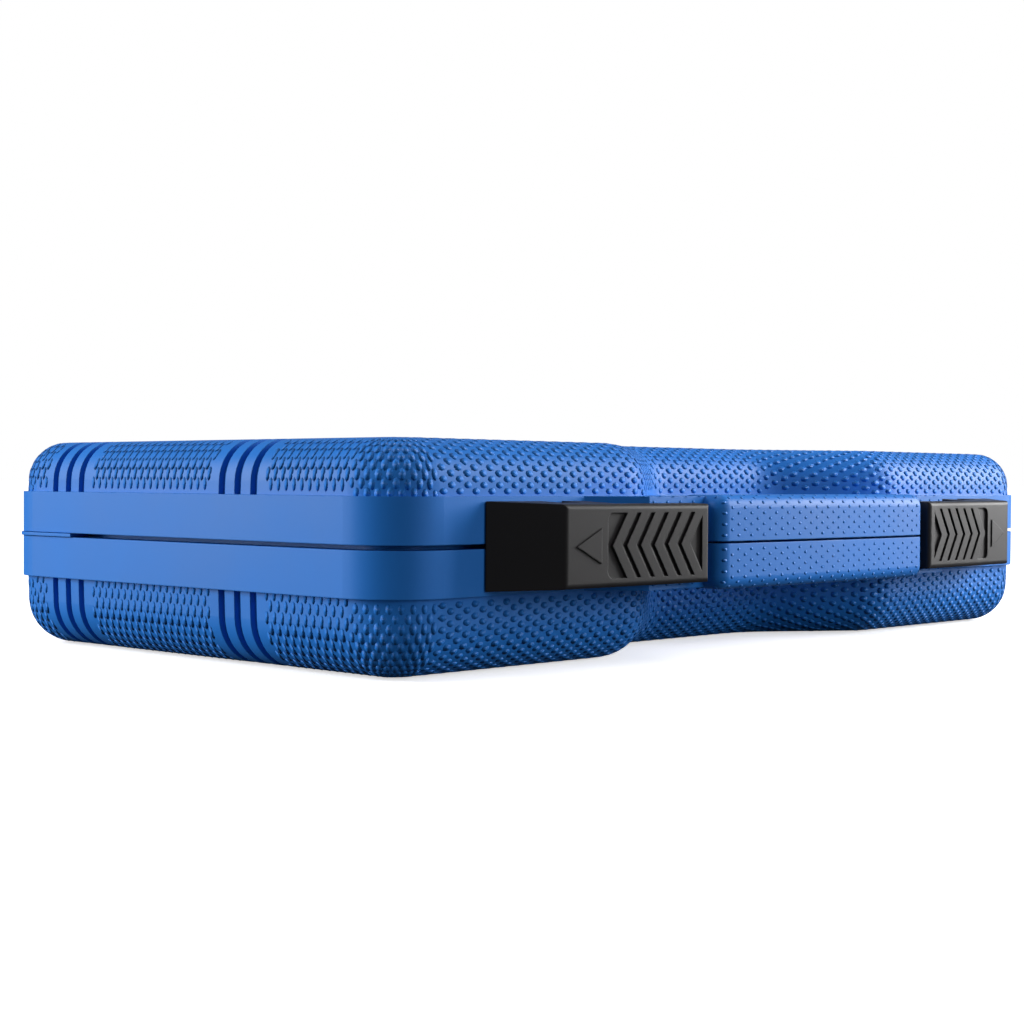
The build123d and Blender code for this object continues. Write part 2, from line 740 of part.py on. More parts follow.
def tray_pan(deck_near, deck_far, rim_z):
    """A flat deck over the body's outline with an upstand from the deck to the rim."""
    deck = Location((0, 0, deck_far)) * extrude(body_plan(tray_upstand_inset), amount=deck_near - deck_far)
    ring = body_plan(tray_upstand_inset) - body_plan(tray_upstand_inset + tray_wall)
    return deck + Location((0, 0, deck_near)) * extrude(ring, amount=rim_z - deck_near)


def make_base_tray():
    """The inner wall of the base: a low deck with an upstand to the rim and a thin cup for every tool."""
    tray = tray_pan(-base_deck_depth, -base_deck_depth - tray_wall, -parting_gap / 2 - rim_thickness)
    below = box(-case_length, case_length, 0, body_depth, -base_height, -base_deck_depth)
    for cup in base_pockets(tray_wall):
        tray += cup & below
    for pocket in base_pockets(0):
        tray -= pocket
    return tray


def make_lid_tray():
    """The inner wall of the lid: a flat deck that closes just over the tallest tool."""
    return tray_pan(lid_deck_z, lid_deck_z + tray_wall, parting_gap / 2 + rim_thickness)


# ---------------------------------------------------------------- assembly
def build_case():
    add_part("base_shell", make_base_shell())
    add_part("lid_shell", make_lid_shell())
    add_part("base_tray", make_base_tray())
    add_part("lid_tray", make_lid_tray())
    add_part("hinge_pin_left", make_hinge_pin(-hinge_x))
    add_part("hinge_pin_right", make_hinge_pin(hinge_x))
    latch = make_latch()
    add_part("latch_right", latch)
    add_part("latch_left", mirrored(latch))


def build_sockets():
    floor = -pocket_floor_z
    for size, x, y, _ in socket_places():
        add_part(f"socket_{size}mm", Location((x, y, floor)) * make_socket(size))
    for size, plug in ((21, plug_socket_21), (16, plug_socket_16)):
        body = make_plug_socket(plug["size"], plug["radius"], plug["length"])
        add_part(f"spark_plug_socket_{size}mm", lying(body, plug["x"], plug["y"], plug_axis_z))
        rubber = make_plug_rubber(plug["size"])
        add_part(f"spark_plug_rubber_{size}mm", lying(rubber, plug["x"], plug["y"], plug_axis_z))


def build_bars():
    for name, length, x, y in (("long", long_bar_length, long_bar_x, long_bar_y),
                               ("short", short_bar_length, short_bar_x, short_bar_y)):
        turn = Location((x + length, y, axis_bar_z), (0, -90, 0))
        add_part(f"extension_bar_{name}", turn * make_bar(length))
        add_part(f"extension_ball_{name}", turn * ball_at(length - drive_length, ball_radius))


def build_joint():
    place = (joint_x, joint_y, joint_z)
    pivot = (joint_x + joint_pivot(), joint_y, joint_z)
    driven = fork(joint_body_length) - square_hole(drive_length + 2)
    # the first yoke's ears stand above and below the axis, the second's at its sides
    add_part("joint_socket_yoke", Location(place, (0, 90, 0)) * Rotation(0, 0, 90) * driven)
    cross = make_cross() + Rotation(90, 0, 0) * make_cross()
    add_part("joint_cross", Location(pivot) * cross)
    male = fork(joint_body_length) + mirror(male_square(0), about=Plane.XY)
    add_part("joint_square_yoke", Location((pivot[0] + joint_pivot(), joint_y, joint_z), (0, -90, 0)) * male)


def build_ratchet():
    add_part("ratchet_body", make_ratchet_body())
    add_part("ratchet_drive_gear", make_gear())
    ball = ball_at(head_half_thickness + spindle_proud, ball_radius)
    add_part("ratchet_drive_ball", ratchet_at(mirror(ball, about=Plane.XY)))
    add_part("ratchet_cover", make_cover())
    add_part("ratchet_cover_screws", make_cover_screws())
    add_part("ratchet_reverse_lever", make_lever())
    add_part("ratchet_release_button", make_button())
    add_part("ratchet_button_spring", make_button_spring())
    add_part("ratchet_pawl", make_pawl())
    add_part("ratchet_grip", make_grip())


def export():
    os.makedirs("parts", exist_ok=True)
    for name, shape in parts.items():
        export_step(TO_FRAME * shape, f"parts/{name}.step")


build_case()
build_sockets()
build_bars()
build_joint()
build_ratchet()
export()
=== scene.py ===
import json
import math

import bmesh
import bpy
from mathutils import Matrix, Vector
from mathutils.bvhtree import BVHTree


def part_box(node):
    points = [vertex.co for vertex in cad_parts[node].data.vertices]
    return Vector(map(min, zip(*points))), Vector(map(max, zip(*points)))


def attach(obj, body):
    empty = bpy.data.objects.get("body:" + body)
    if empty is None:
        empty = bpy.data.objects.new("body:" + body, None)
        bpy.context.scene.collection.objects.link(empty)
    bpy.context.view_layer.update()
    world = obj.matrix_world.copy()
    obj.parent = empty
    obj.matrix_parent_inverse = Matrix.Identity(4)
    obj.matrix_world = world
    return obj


bl_info = {
    "name": "Socket set case",
    "version": (1, 0, 0),
    "blender": (4, 5, 0),
    "location": "View3D > Sidebar > Socket Set",
    "description": "Finishes a socket wrench set in its moulded case",
    "category": "Object",
}

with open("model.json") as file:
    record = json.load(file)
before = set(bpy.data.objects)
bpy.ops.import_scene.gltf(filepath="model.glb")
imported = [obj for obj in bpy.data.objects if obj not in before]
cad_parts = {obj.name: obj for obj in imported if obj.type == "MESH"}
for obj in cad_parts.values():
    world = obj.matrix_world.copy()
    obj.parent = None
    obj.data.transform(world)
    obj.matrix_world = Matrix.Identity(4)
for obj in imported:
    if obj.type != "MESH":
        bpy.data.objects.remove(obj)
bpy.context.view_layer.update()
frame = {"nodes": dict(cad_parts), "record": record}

MM = 0.001
LID_LOW, LID_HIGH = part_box("lid_shell")
BASE_LOW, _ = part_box("base_shell")
UNDERSIDE, LID_TOP = BASE_LOW.z, LID_HIGH.z
HALF_LENGTH = LID_HIGH.x

# places that the case's own design fixes, in the frame's metres
PARTING_Z = UNDERSIDE + 41.3 * MM
BAND_FRONT_Y = LID_LOW.y + 25.0 * MM
BAND_BACK_Y = BAND_FRONT_Y + 218.0 * MM
BAND_MIDDLE_Y = (BAND_FRONT_Y + BAND_BACK_Y) / 2
BAND_HALF_DEPTH = (BAND_BACK_Y - BAND_FRONT_Y) / 2
BAND_HALF_HEIGHT = 15.8 * MM
CORNER_RADIUS = 22.0 * MM
HANDLE_HALF_HEIGHT = 16.4 * MM
HANDLE_EDGE_RADIUS = 4.5 * MM
LID_EDGE_RADIUS = 14.5 * MM
BASE_EDGE_RADIUS = 17.0 * MM


# ---------------------------------------------------------------- settings
def length(name, text, millimetres, low=0.0, high=500.0):
    """A length that the panel shows, kept in metres."""
    return bpy.props.FloatProperty(name=name, description=text, default=millimetres * MM, min=low * MM,
                                   max=high * MM, precision=5, unit="LENGTH", subtype="DISTANCE")


def colour(name, text, value):
    """An sRGB colour as six hexadecimal digits."""
    return bpy.props.StringProperty(name=name, description=text, default=value, maxlen=6)


class CaseGrainSizes(bpy.types.PropertyGroup):
    """The raised grain on the moulded shells."""
    pitch_x: length("Pitch along", "Distance between bumps in a row, along the case", 7.2, 1, 20)
    pitch_y: length("Pitch across", "Distance between rows of the same phase, across the case", 3.85, 1, 20)
    corner_pitch: length("Corner pitch", "Distance between bumps round the upright corners", 4.1, 1, 20)
    corner_rise: length("Corner rise", "Distance between rows of the same phase on the corners", 6.0, 1, 20)
    bump_share: bpy.props.FloatProperty(name="Bump share", description="Bump width as a share of its pitch",
                                        default=0.6, min=0.1, max=0.9)
    relief: length("Relief", "How far a bump stands out", 0.085, 0.05, 2)
    handle_relief: length("Handle relief", "How far a bump stands out on the handle", 0.11, 0.05, 2)
    handle_share: bpy.props.FloatProperty(name="Handle bump share", description="Width share on the handle",
                                          default=0.3, min=0.1, max=0.9)
    band_margin: length("Band margin", "Plain strip between the band and the first bumps", 0.4, 0, 20)
    groove_strip: length("Groove strip", "Half width of the plain strip round the ribbing", 14.6, 0, 60)
    groove_reach: length("Groove reach", "How far the plain strip runs in from the end", 65.0, 0, 200)
    groove_front: length("Front ribbing", "Middle of the front ribbing, from the band's front", 76.0, 0, 218)
    groove_back: length("Back ribbing", "Middle of the back ribbing, from the band's front", 175.0, 0, 218)


class CaseFlashSizes(bpy.types.PropertyGroup):
    """The thin moulding flash left in the parting line at the left back corner."""
    thickness: length("Thickness", "Thickness of the flash", 1.2, 0.1, 1.4)
    proud: length("Proud", "How far it stands out of the band", 0.7, 0, 3)
    overlap: length("Overlap", "How far it reaches in over the rim", 7.0, 1, 20)
    run: length("Run", "How far it runs forward from the corner", 26.0, 0, 150)
    steps: bpy.props.IntProperty(name="Steps", description="Points along the flash", default=32,
                                 min=4, max=200)


class CaseColours(bpy.types.PropertyGroup):
    """The colours of the case and its tools."""
    shell: colour("Shell", "Moulded case halves", "2070C6")
    tray: colour("Tray", "Inner walls", "2361B4")
    latch: colour("Latch", "Slide latches", "201F21")
    chrome: colour("Satin chrome", "Sockets and bars", "B9BBBE")
    bright: colour("Polished chrome", "Ratchet head and button", "D8DADC")
    black_steel: colour("Blackened steel", "Springs and screws", "34332F")
    zinc: colour("Zinc", "Hinge pins", "9C9C98")
    grip: colour("Grip", "Ratchet grip", "17181A")
    rubber: colour("Rubber", "Sleeves in the spark plug sockets", "121212")
    floor: colour("Floor", "The floor that the case stands on", "F4F4F4")


# ---------------------------------------------------------------- materials
def linear(hexadecimal):
    """Turns an sRGB hex colour into linear RGBA."""
    parts = [int(hexadecimal[i:i + 2], 16) / 255 for i in (0, 2, 4)]
    return [c / 12.92 if c <= 0.04045 else ((c + 0.055) / 1.055) ** 2.4 for c in parts] + [1.0]


def add_node(tree, kind, inputs=None, **settings):
    """Adds a node, sets its properties and fills or links its inputs."""
    node = tree.nodes.new(kind)
    for name, value in settings.items():
        setattr(node, name, value)
    for name, value in (inputs or {}).items():
        if isinstance(value, bpy.types.NodeSocket):
            tree.links.new(value, node.inputs[name])
        else:
            node.inputs[name].default_value = value
    return node


def new_material(name):
    material = bpy.data.materials.new(name)
    material.use_nodes = True
    material.node_tree.nodes.clear()
    return material, material.node_tree


def shaded(hexadecimal, factor):
    """The same colour, lighter or darker."""
    return [min(1.0, c * factor) for c in linear(hexadecimal)[:3]] + [1.0]


def position(tree, unit_mm):
    """The object's own coordinates, counted in units of so many millimetres."""
    coordinates = add_node(tree, "ShaderNodeTexCoord").outputs["Object"]
    scale = (1 / (unit_mm * MM),) * 3
    return add_node(tree, "ShaderNodeMapping", {"Vector": coordinates, "Scale": scale}).outputs["Vector"]


def mottled(tree, patch_mm, tints, roughnesses, detail=3.0, noise_roughness=0.6, tint_start=0.3):
    """A colour and a roughness that drift together over patches of one size.

    Most of the noise lies between 0.3 and 0.7, so that range is spread over both pairs of values.
    """
    drift = add_node(tree, "ShaderNodeTexNoise", {
        "Vector": position(tree, patch_mm), "Scale": 1.0, "Detail": detail,
        "Roughness": noise_roughness}).outputs["Fac"]
    share = add_node(tree, "ShaderNodeMapRange", {
        "Value": drift, "From Min": tint_start, "From Max": 0.7, "To Min": 0.0, "To Max": 1.0})
    base = add_node(tree, "ShaderNodeMix", {
        0: share.outputs["Result"], 6: tints[0], 7: tints[1]}, data_type="RGBA")
    rough = add_node(tree, "ShaderNodeMapRange", {
        "Value": drift, "From Min": 0.3, "From Max": 0.7,
        "To Min": roughnesses[0], "To Max": roughnesses[1]})
    return base.outputs[2], rough.outputs["Result"]


def finish_material(material, tree, **inputs):
    """Adds the shader, with its inputs' spaces written as underscores, and the output."""
    named = {key.replace("_", " "): value for key, value in inputs.items()}
    shader = add_node(tree, "ShaderNodeBsdfPrincipled", named)
    add_node(tree, "ShaderNodeOutputMaterial", {"Surface": shader.outputs["BSDF"]})
    return material


def moulded_plastic(name, tint, roughness, spark_mm, spark_depth_mm, specular=0.5, edge_mm=0.5):
    """Plastic from a grit-blasted mould: a slightly clouded colour, soft edges and a fine matt tooth."""
    material, tree = new_material(name)
    base, rough = mottled(tree, 45.0, (shaded(tint, 0.95), shaded(tint, 1.06)),
                          (roughness - 0.04, roughness + 0.05), noise_roughness=0.5)
    tooth = add_node(tree, "ShaderNodeTexNoise", {
        "Vector": position(tree, spark_mm), "Scale": 1.0, "Detail": 2.0, "Roughness": 0.55})
    edges = add_node(tree, "ShaderNodeBevel", {"Radius": edge_mm * MM}, samples=4)
    bump = add_node(tree, "ShaderNodeBump", {
        "Height": tooth.outputs["Fac"], "Strength": 0.35, "Distance": spark_depth_mm * MM,
        "Normal": edges.outputs["Normal"]})
    return finish_material(material, tree, Base_Color=base, Roughness=rough, IOR=1.49,
                           Specular_IOR_Level=specular, Normal=bump.outputs["Normal"])


def plated_steel(name, tint, roughness, grain_mm, depth_mm):
    """Plated steel that was tumbled or satin-blasted first: a bright metal with a soft fine grain."""
    material, tree = new_material(name)
    base, rough = mottled(tree, 12.0, (shaded(tint, 0.95), linear(tint)),
                          (roughness * 0.9, roughness * 1.15))
    grain = add_node(tree, "ShaderNodeTexNoise", {
        "Vector": position(tree, grain_mm), "Scale": 1.0, "Detail": 4.0, "Roughness": 0.6})
    bump = add_node(tree, "ShaderNodeBump", {
        "Height": grain.outputs["Fac"], "Strength": 0.3, "Distance": depth_mm * MM})
    return finish_material(material, tree, Base_Color=base, Metallic=1.0, Roughness=rough,
                           Normal=bump.outputs["Normal"])


def moulded_rubber(name, tint):
    """Moulded rubber: very dark and matt, with a faint bloom and a pebbled skin."""
    material, tree = new_material(name)
    base, rough = mottled(tree, 15.0, (linear(tint), shaded(tint, 1.9)), (0.6, 0.8),
                          detail=4.0, noise_roughness=0.5, tint_start=0.35)
    pebble = add_node(tree, "ShaderNodeTexVoronoi", {"Vector": position(tree, 0.8), "Scale": 1.0})
    bump = add_node(tree, "ShaderNodeBump", {
        "Height": pebble.outputs["Distance"], "Strength": 0.3, "Distance": 0.08 * MM})
    return finish_material(material, tree, Base_Color=base, Roughness=rough, IOR=1.52,
                           Normal=bump.outputs["Normal"])


MAKERS = {
    "shell": lambda c: moulded_plastic("Blow-moulded polypropylene", c.shell, roughness=0.46,
                                       spark_mm=0.9, spark_depth_mm=0.04, specular=0.18),
    "tray": lambda c: moulded_plastic("Blow-moulded polypropylene inner wall", c.tray, roughness=0.46,
                                      spark_mm=0.9, spark_depth_mm=0.05),
    "latch": lambda c: moulded_plastic("Injection-moulded ABS, spark-eroded", c.latch, roughness=0.48,
                                       spark_mm=0.5, spark_depth_mm=0.05, specular=0.22),
    "chrome": lambda c: plated_steel("Satin chrome on chrome-vanadium steel", c.chrome, roughness=0.27,
                                     grain_mm=0.35, depth_mm=0.004),
    "bright": lambda c: plated_steel("Polished chrome", c.bright, roughness=0.12,
                                     grain_mm=0.6, depth_mm=0.002),
    "black_steel": lambda c: plated_steel("Blackened steel", c.black_steel, roughness=0.42,
                                          grain_mm=0.3, depth_mm=0.012),
    "zinc": lambda c: plated_steel("Zinc-plated steel wire", c.zinc, roughness=0.36,
                                   grain_mm=0.3, depth_mm=0.012),
    "grip": lambda c: moulded_rubber("Moulded soft grip", c.grip),
    "rubber": lambda c: moulded_rubber("Moulded nitrile rubber", c.rubber),
}
made = {}


def material_for(key):
    """Makes each material once."""
    if key not in made:
        made[key] = MAKERS[key](bpy.context.scene.case_colours)
    return made[key]


def dress(obj, key):
    """Gives a whole piece one material."""
    obj.data.materials.clear()
    obj.data.materials.append(material_for(key))
    for polygon in obj.data.polygons:
        polygon.material_index = 0


def object_from(name, mesh):
    """Turns a bmesh into an object of the scene, and frees it."""
    data = bpy.data.meshes.new(name)
    mesh.to_mesh(data)
    mesh.free()
    obj = bpy.data.objects.new(name, data)
    bpy.context.scene.collection.objects.link(obj)
    return obj


# ---------------------------------------------------------------- the grain's lattice
SIDE_STEPS = 10        # points up the straight part of a section
TURN_STEPS = 24        # points round its round edge
FEWEST_POINTS = 8      # a section with fewer points has missed most of the shell
RAY_PAST = 30.0 * MM   # how far past its target a line may still meet the shell


def skin_and_up(lid):
    """A search tree over one shell's surface, and the way from the parting plane to its flat."""
    mesh = frame["nodes"]["lid_shell" if lid else "base_shell"].data
    skin = BVHTree.FromPolygons([v.co for v in mesh.vertices], [p.vertices for p in mesh.polygons])
    return skin, Vector((0, 0, 1 if lid else -1))


def hit(skin, target, outward, reach=60.0 * MM):
    """Where a line towards target from outside meets the shell, and the way that the surface faces there."""
    place, normal, _, _ = skin.ray_cast(target + outward * reach, -outward, reach + RAY_PAST)
    return (place, normal) if place is not None else None


def section(skin, edge, inward, up, side_height, radius):
    """The shell's outline in one upright plane, from the band up its side and round its edge.

    edge is the point where the side starts, inward points into the case and up is away from the parting
    plane. Each entry is a point, its outward normal and its length along the line.
    """
    samples = [(edge + up * (side_height * k / SIDE_STEPS) + inward * radius, -inward)
               for k in range(SIDE_STEPS)]
    centre = edge + up * side_height + inward * radius
    for k in range(TURN_STEPS + 1):
        angle = math.pi / 2 * k / TURN_STEPS
        samples.append((centre, -inward * math.cos(angle) + up * math.sin(angle)))
    line = []
    for target, outward in samples:
        found = hit(skin, target, outward)
        # a face that looks another way belongs to a groove or to the handle
        if found is None or found[1].dot(outward) < 0.5:
            continue
        along = 0.0 if not line else line[-1][2] + (found[0] - line[-1][0]).length
        line.append((found[0], found[1], along))
    return line


def at_length(line, wanted):
    """The point and normal at a length along a section."""
    for a, b in zip(line, line[1:]):
        if a[2] <= wanted <= b[2]:
            share = (wanted - a[2]) / max(b[2] - a[2], 1e-9)
            return a[0].lerp(b[0], share), a[1].lerp(b[1], share).normalized()
    return None


def ribbed(sizes, y):
    """Whether a place across the case lies in the plain strip round a group of ribbing grooves."""
    return any(abs(y - BAND_FRONT_Y - middle) < sizes.groove_strip
               for middle in (sizes.groove_front, sizes.groove_back))


def front_edge(skin, x, z):
    """The front of the dome at a place along the case, which the hand recess sets back."""
    past_handle = PARTING_Z + math.copysign(HANDLE_HALF_HEIGHT + 1.5 * MM, z - PARTING_Z)
    ahead = Vector((x, BAND_FRONT_Y - 60.0 * MM, past_handle))
    place, _, _, _ = skin.ray_cast(ahead, Vector((0, 1, 0)), 200.0 * MM)
    return Vector((x, BAND_FRONT_Y if place is None else place.y, z))


# Each of the next three yields upright planes that hold one column of bumps. A plane is the column's lowest
# point, the way into the case, the way along the band, the pitches along and up, and 1 for an odd column.

def front_and_back_planes(skin, sizes, level):
    """Columns on the front and the back, along the case."""
    columns = int((HALF_LENGTH - CORNER_RADIUS) / (sizes.pitch_x / 2))
    lattice = Vector((1, 0, 0)), sizes.pitch_x, sizes.pitch_y
    for k in range(-columns, columns + 1):
        x = k * sizes.pitch_x / 2
        yield front_edge(skin, x, level), Vector((0, 1, 0)), *lattice, k % 2
        yield Vector((x, BAND_BACK_Y, level)), Vector((0, -1, 0)), *lattice, k % 2


def end_planes(sizes, level):
    """Columns on the two ends, across the case, with the strips round the ribbing left plain."""
    columns = int((BAND_HALF_DEPTH - CORNER_RADIUS) / (sizes.pitch_y / 2))
    for k in range(-columns, columns + 1):
        y = BAND_MIDDLE_Y + k * sizes.pitch_y / 2
        if ribbed(sizes, y):
            continue
        for side in (-1, 1):
            yield (Vector((side * HALF_LENGTH, y, level)), Vector((-side, 0, 0)), Vector((0, 1, 0)),
                   sizes.pitch_y, sizes.pitch_x, k % 2)


def corner_planes(sizes, level):
    """Columns round the four upright corners, in planes through each corner's axis."""
    steps = round(math.pi / 2 * CORNER_RADIUS / (sizes.corner_pitch / 2))
    for sx in (-1, 1):
        for sy in (-1, 1):
            axis = Vector((sx * (HALF_LENGTH - CORNER_RADIUS),
                           BAND_MIDDLE_Y + sy * (BAND_HALF_DEPTH - CORNER_RADIUS), level))
            for k in range(1, steps):
                angle = math.pi / 2 * k / steps
                outward = Vector((sx * math.cos(angle), sy * math.sin(angle), 0))
                yield (axis + outward * CORNER_RADIUS, -outward, Vector((-outward.y, outward.x, 0)),
                       sizes.corner_pitch, sizes.corner_rise, k % 2)


def edge_spots(sizes, lid):
    """Bumps on the dome's four sides and round edges: the flat's own lattice, wrapped over each edge."""
    skin, up = skin_and_up(lid)
    radius = LID_EDGE_RADIUS if lid else BASE_EDGE_RADIUS
    start = BAND_HALF_HEIGHT + 0.2 * MM
    side_height = (LID_TOP - PARTING_Z if lid else PARTING_Z - UNDERSIDE) - radius - start
    level = PARTING_Z + up.z * start
    spots = []
    for planes in (front_and_back_planes(skin, sizes, level), end_planes(sizes, level),
                   corner_planes(sizes, level)):
        for edge, inward, across, pitch, rise, odd in planes:
            line = section(skin, edge, inward, up, side_height, radius)
            if len(line) < FEWEST_POINTS:
                continue
            # rows are counted from the flat, so that they run on from the flat's own lattice
            total = line[-1][2]
            along = (total - (rise / 2 if odd else 0.0)) % rise
            while along < total:
                place = at_length(line, along) if along > sizes.band_margin else None
                if place is not None:
                    spots.append((*place, across, pitch, rise))
                along += rise
    return spots


def flat_spots(sizes, lid):
    """Bumps on the dome's flat, which is the lid's top or the base's underside."""
    skin, up = skin_and_up(lid)
    level = LID_TOP if lid else UNDERSIDE
    spots = []
    columns = int(HALF_LENGTH / (sizes.pitch_x / 2))
    rows = int(BAND_HALF_DEPTH / (sizes.pitch_y / 2))
    for i in range(-columns, columns + 1):
        for j in range(-rows, rows + 1):
            if (i + j) % 2:
                continue
            x, y = i * sizes.pitch_x / 2, BAND_MIDDLE_Y + j * sizes.pitch_y / 2
            if abs(x) > HALF_LENGTH - sizes.groove_reach and ribbed(sizes, y):
                continue
            found = hit(skin, Vector((x, y, level)), up, 20.0 * MM)
            # only the flat itself: level to within about two degrees, and at its own height
            if found is None or found[1].dot(up) < 0.9995 or abs(found[0].z - level) > 0.02 * MM:
                continue
            spots.append((found[0], found[1], Vector((1, 0, 0)), sizes.pitch_x, sizes.pitch_y))
    return spots


HANDLE_REACH = 100.0 * MM   # half the length along the case that is searched for the handle
HANDLE_START = 1.6 * MM     # from the parting plane to the lowest point of a section
HANDLE_FIRST = 0.8 * MM     # from there to the first bump
HANDLE_DEPTH = 15.0 * MM    # a line that gets this far in has gone past the handle's ends


def handle_spots(sizes, lid):
    """Fine bumps on the front, top and underside of one half of the handle."""
    skin, up = skin_and_up(lid)
    side_height = HANDLE_HALF_HEIGHT - HANDLE_START - HANDLE_EDGE_RADIUS
    spots = []
    columns = int(HANDLE_REACH / (sizes.pitch_x / 2))
    for k in range(-columns, columns + 1):
        ahead = Vector((k * sizes.pitch_x / 2, LID_LOW.y - 50.0 * MM, PARTING_Z + up.z * HANDLE_START))
        front = skin.ray_cast(ahead, Vector((0, 1, 0)), 80.0 * MM)[0]
        if front is None or front.y > LID_LOW.y + HANDLE_DEPTH:
            continue
        line = section(skin, front, Vector((0, 1, 0)), up, side_height, HANDLE_EDGE_RADIUS)
        if len(line) < FEWEST_POINTS:
            continue
        along = HANDLE_FIRST + (sizes.pitch_y / 2 if k % 2 else 0.0)
        while along < line[-1][2]:
            spots.append((*at_length(line, along), Vector((1, 0, 0)), sizes.pitch_x, sizes.pitch_y))
            along += sizes.pitch_y
    return spots


BUMP_SIDES = 8
TOP_SHARE = 0.42   # width of a bump's top as a share of its foot
STRETCH = 1.15     # a bump is this much longer along its second pitch
SINK = 0.4         # part of the relief that a bump's foot reaches below the surface
BATCH = 100        # bumps made in one small mesh, because a large one makes each new bump slower


def grain_piece(name, spots, share, relief, body):
    """Joins the bumps of one area into one piece: each is a low eight-sided pillow with a narrower top."""
    if not spots:
        raise RuntimeError(f"{name}: the lattice met no surface")
    joined = bmesh.new()
    for first in range(0, len(spots), BATCH):
        batch = bmesh.new()
        for place, normal, across, pitch, rise in spots[first:first + BATCH]:
            along = normal.cross(across).normalized()
            across = along.cross(normal).normalized()
            turn = Matrix((across, along, normal)).transposed().to_4x4()
            size = Matrix.Diagonal((pitch * share / 2, rise * share * STRETCH / 2, 1.0, 1.0))
            where = Matrix.Translation(place + normal * (relief * (1 - SINK) / 2)) @ turn @ size
            bmesh.ops.create_cone(batch, cap_ends=True, cap_tris=False, segments=BUMP_SIDES, radius1=1.0,
                                  radius2=TOP_SHARE, depth=relief * (1 + SINK), matrix=where)
        part = bpy.data.meshes.new("batch")
        batch.to_mesh(part)
        batch.free()
        joined.from_mesh(part)
        bpy.data.meshes.remove(part)
    for face in joined.faces:
        face.smooth = True
    piece = object_from(name, joined)
    dress(piece, "shell")
    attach(piece, body)


# ---------------------------------------------------------------- operators
class CASE_OT_shells(bpy.types.Operator):
    """Finish the two outer shells and the inner walls"""
    bl_idname = "case.shells"
    bl_label = "Shells and trays"

    def execute(self, context):
        for name, key in (("base_shell", "shell"), ("lid_shell", "shell"), ("base_tray", "tray"),
                          ("lid_tray", "tray")):
            dress(frame["nodes"][name], key)
        return {"FINISHED"}


class CASE_OT_grain(bpy.types.Operator):
    """Raise the diamond grain on both shells and the handle"""
    bl_idname = "case.grain"
    bl_label = "Raised grain"

    def execute(self, context):
        sizes = context.scene.case_grain
        for body, lid in (("lid", True), ("base", False)):
            grain_piece(f"{body}_grain_sides", edge_spots(sizes, lid), sizes.bump_share, sizes.relief,
                        body)
            grain_piece(f"{body}_grain_flat", flat_spots(sizes, lid), sizes.bump_share, sizes.relief, body)
            grain_piece(f"{body}_grain_handle", handle_spots(sizes, lid), sizes.handle_share,
                        sizes.handle_relief, body)
        return {"FINISHED"}


class CASE_OT_flash(bpy.types.Operator):
    """Lay the flash in the parting line round the left back corner"""
    bl_idname = "case.flash"
    bl_label = "Moulding flash"

    def execute(self, context):
        sizes = context.scene.case_flash
        # the sheet is thickened downwards, so it starts half its thickness above the parting plane
        top = PARTING_Z + sizes.thickness / 2
        centre = Vector((CORNER_RADIUS - HALF_LENGTH, BAND_BACK_Y - CORNER_RADIUS, top))
        total = sizes.run + CORNER_RADIUS * math.pi / 2
        mesh = bmesh.new()
        bmesh.ops.create_grid(mesh, x_segments=sizes.steps, y_segments=1, size=1.0)
        for vertex in mesh.verts:
            along = (vertex.co.x + 1) / 2 * total
            reach = CORNER_RADIUS + (sizes.proud if vertex.co.y > 0 else -sizes.overlap)
            angle = max(0.0, along - sizes.run) / CORNER_RADIUS
            outward = Vector((-math.cos(angle), math.sin(angle), 0))
            forward = Vector((0, min(0.0, along - sizes.run), 0))
            vertex.co = centre + outward * reach + forward
        bmesh.ops.solidify(mesh, geom=list(mesh.faces), thickness=sizes.thickness)
        piece = object_from("parting_flash", mesh)
        dress(piece, "shell")
        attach(piece, "base")
        return {"FINISHED"}


class CASE_OT_latches(bpy.types.Operator):
    """Finish the two slide latches"""
    bl_idname = "case.latches"
    bl_label = "Slide latches"

    def execute(self, context):
        for name in ("latch_left", "latch_right"):
            dress(frame["nodes"][name], "latch")
        return {"FINISHED"}


class CASE_OT_hinges(bpy.types.Operator):
    """Finish the hinge pins"""
    bl_idname = "case.hinges"
    bl_label = "Hinge pins"

    def execute(self, context):
        for name in ("hinge_pin_left", "hinge_pin_right"):
            dress(frame["nodes"][name], "zinc")
        return {"FINISHED"}


TOOL_FINISH = {
    "chrome_steel": "chrome", "polished_steel": "bright", "blackened_steel": "black_steel",
    "ball_steel": "bright", "grip": "grip", "rubber": "rubber",
}


class CASE_OT_tools(bpy.types.Operator):
    """Finish the ratchet, sockets, bars and joint"""
    bl_idname = "case.tools"
    bl_label = "Tools"

    def execute(self, context):
        for part in frame["record"]["subparts"]:
            if part["material_slot"] in TOOL_FINISH:
                dress(frame["nodes"][part["node"]], TOOL_FINISH[part["material_slot"]])
        return {"FINISHED"}


# name, place, the point it shines at, width and height, watts
LAMPS = (
    ("left rear", (-1.12, 0.88, 0.42), (-0.1, 0, 0.04), (0.7, 1.0), 25),
    ("right front", (0.85, -0.5, 0.36), (0.12, -0.08, 0.04), (0.5, 0.6), 15),
    ("front fill", (0.25, -1.4, 0.35), (0.05, -0.08, 0.04), (0.9, 0.6), 5),
    ("overhead", (0.0, 0.1, 1.4), (0, 0, 0.04), (1.2, 0.8), 5),
)
SKY_STRENGTH = 0.22                      # what the pieces see of the sky; the camera sees it white
DIM_FLOOR = (0.07, 0.07, 0.07, 1)        # what the pieces see of the floor
CAMERA_YAW, CAMERA_PITCH, CAMERA_ROLL = 46.8, -0.975, 0.356
CAMERA_FROM_CORNER = Vector((-0.3692, -0.39612, 0.02066))
LENS_MM = 63.53


